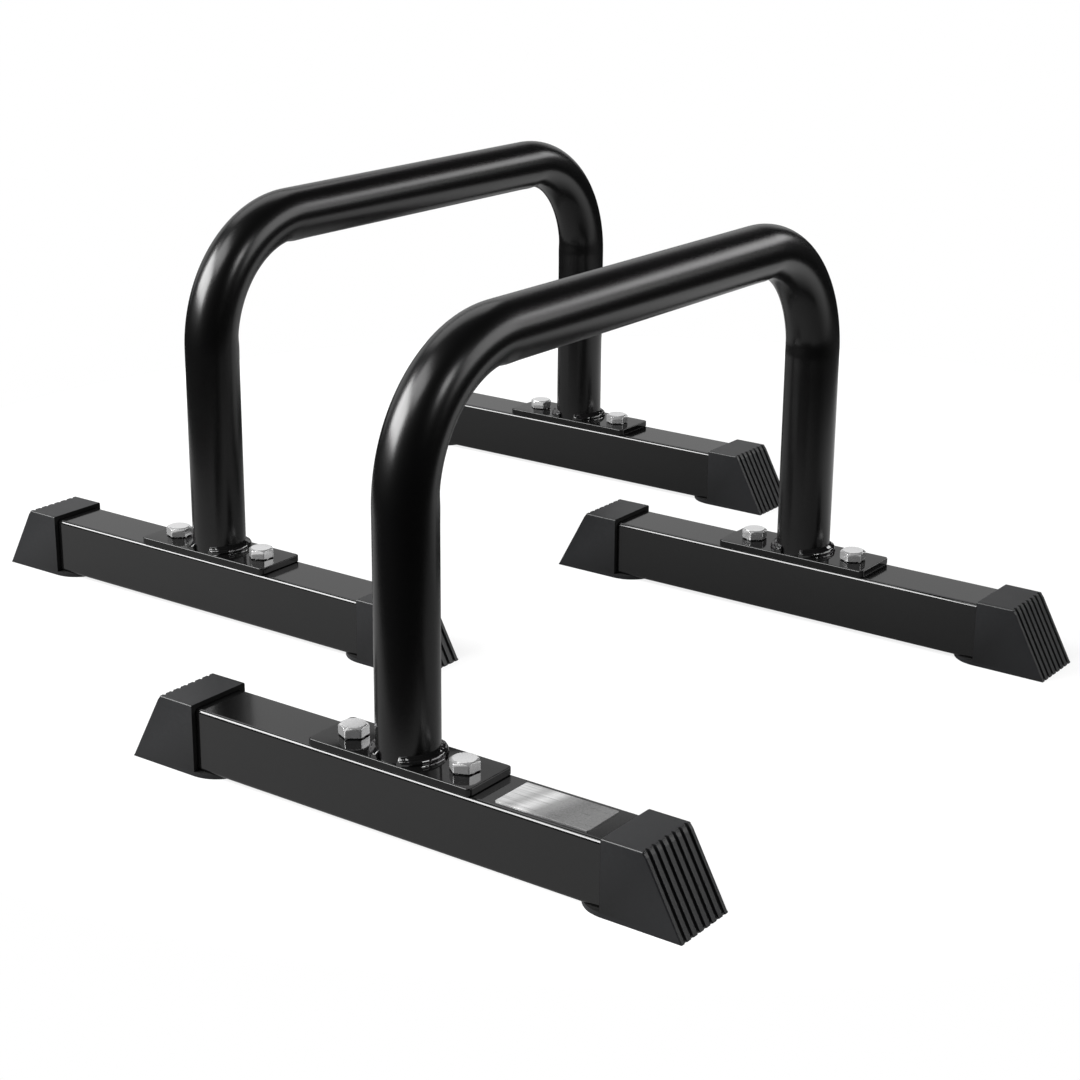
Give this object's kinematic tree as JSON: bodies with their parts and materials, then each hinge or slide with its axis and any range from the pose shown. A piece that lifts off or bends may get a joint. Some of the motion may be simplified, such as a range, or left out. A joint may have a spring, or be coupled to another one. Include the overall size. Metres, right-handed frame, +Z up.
{
  "type": "pair of parallette bars",
  "caption": "Low parallette bars: bent round steel grip rails on flange plates, bolted to square steel foot tubes with sloping ribbed rubber end caps.",
  "frame": {"origin": "on the floor, in the middle of the pair's footprint", "axes": "+X along the grips, from the front feet to the rear feet; +Y from the right bar to the left bar; +Z up"},
  "size_m": [0.6964, 0.738, 0.295],
  "materials": {
    "rail_coat": "satin black powder coat on bent steel tube",
    "tube_coat": "satin black powder coat on square steel tube",
    "plate_coat": "semi-gloss black powder coat on steel plate",
    "weld_coat": "glossy black powder coat on weld bead",
    "bolt_zinc": "bright zinc plated steel",
    "nut_steel": "plain steel",
    "cap_rubber": "matt charcoal moulded rubber",
    "name_plate_metal": "brushed, left bare"
  },
  "bodies": {
    "right_bar": {"right_rail": "rail_coat", "right_front_foot_tube": "tube_coat", "right_front_flange_plate": "plate_coat", "right_front_welds": "weld_coat", "right_front_bolts": "bolt_zinc", "right_front_weld_nuts": "nut_steel", "right_front_inner_cap": "cap_rubber", "right_front_outer_cap": "cap_rubber", "right_rear_foot_tube": "tube_coat", "right_rear_flange_plate": "plate_coat", "right_rear_welds": "weld_coat", "right_rear_bolts": "bolt_zinc", "right_rear_weld_nuts": "nut_steel", "right_rear_inner_cap": "cap_rubber", "right_rear_outer_cap": "cap_rubber", "right_front_name_plate": "name_plate_metal"},
    "left_bar": {"left_rail": "rail_coat", "left_front_foot_tube": "tube_coat", "left_front_flange_plate": "plate_coat", "left_front_welds": "weld_coat", "left_front_bolts": "bolt_zinc", "left_front_weld_nuts": "nut_steel", "left_front_inner_cap": "cap_rubber", "left_front_outer_cap": "cap_rubber", "left_rear_foot_tube": "tube_coat", "left_rear_flange_plate": "plate_coat", "left_rear_welds": "weld_coat", "left_rear_bolts": "bolt_zinc", "left_rear_weld_nuts": "nut_steel", "left_rear_inner_cap": "cap_rubber", "left_rear_outer_cap": "cap_rubber"}
  },
  "joints": [
    {"name": "bar_spacing", "type": "slide", "parent": "right_bar", "child": "left_bar", "axis": [0, 1, 0], "range_m": [-0.28, 0.262]}
  ]
}
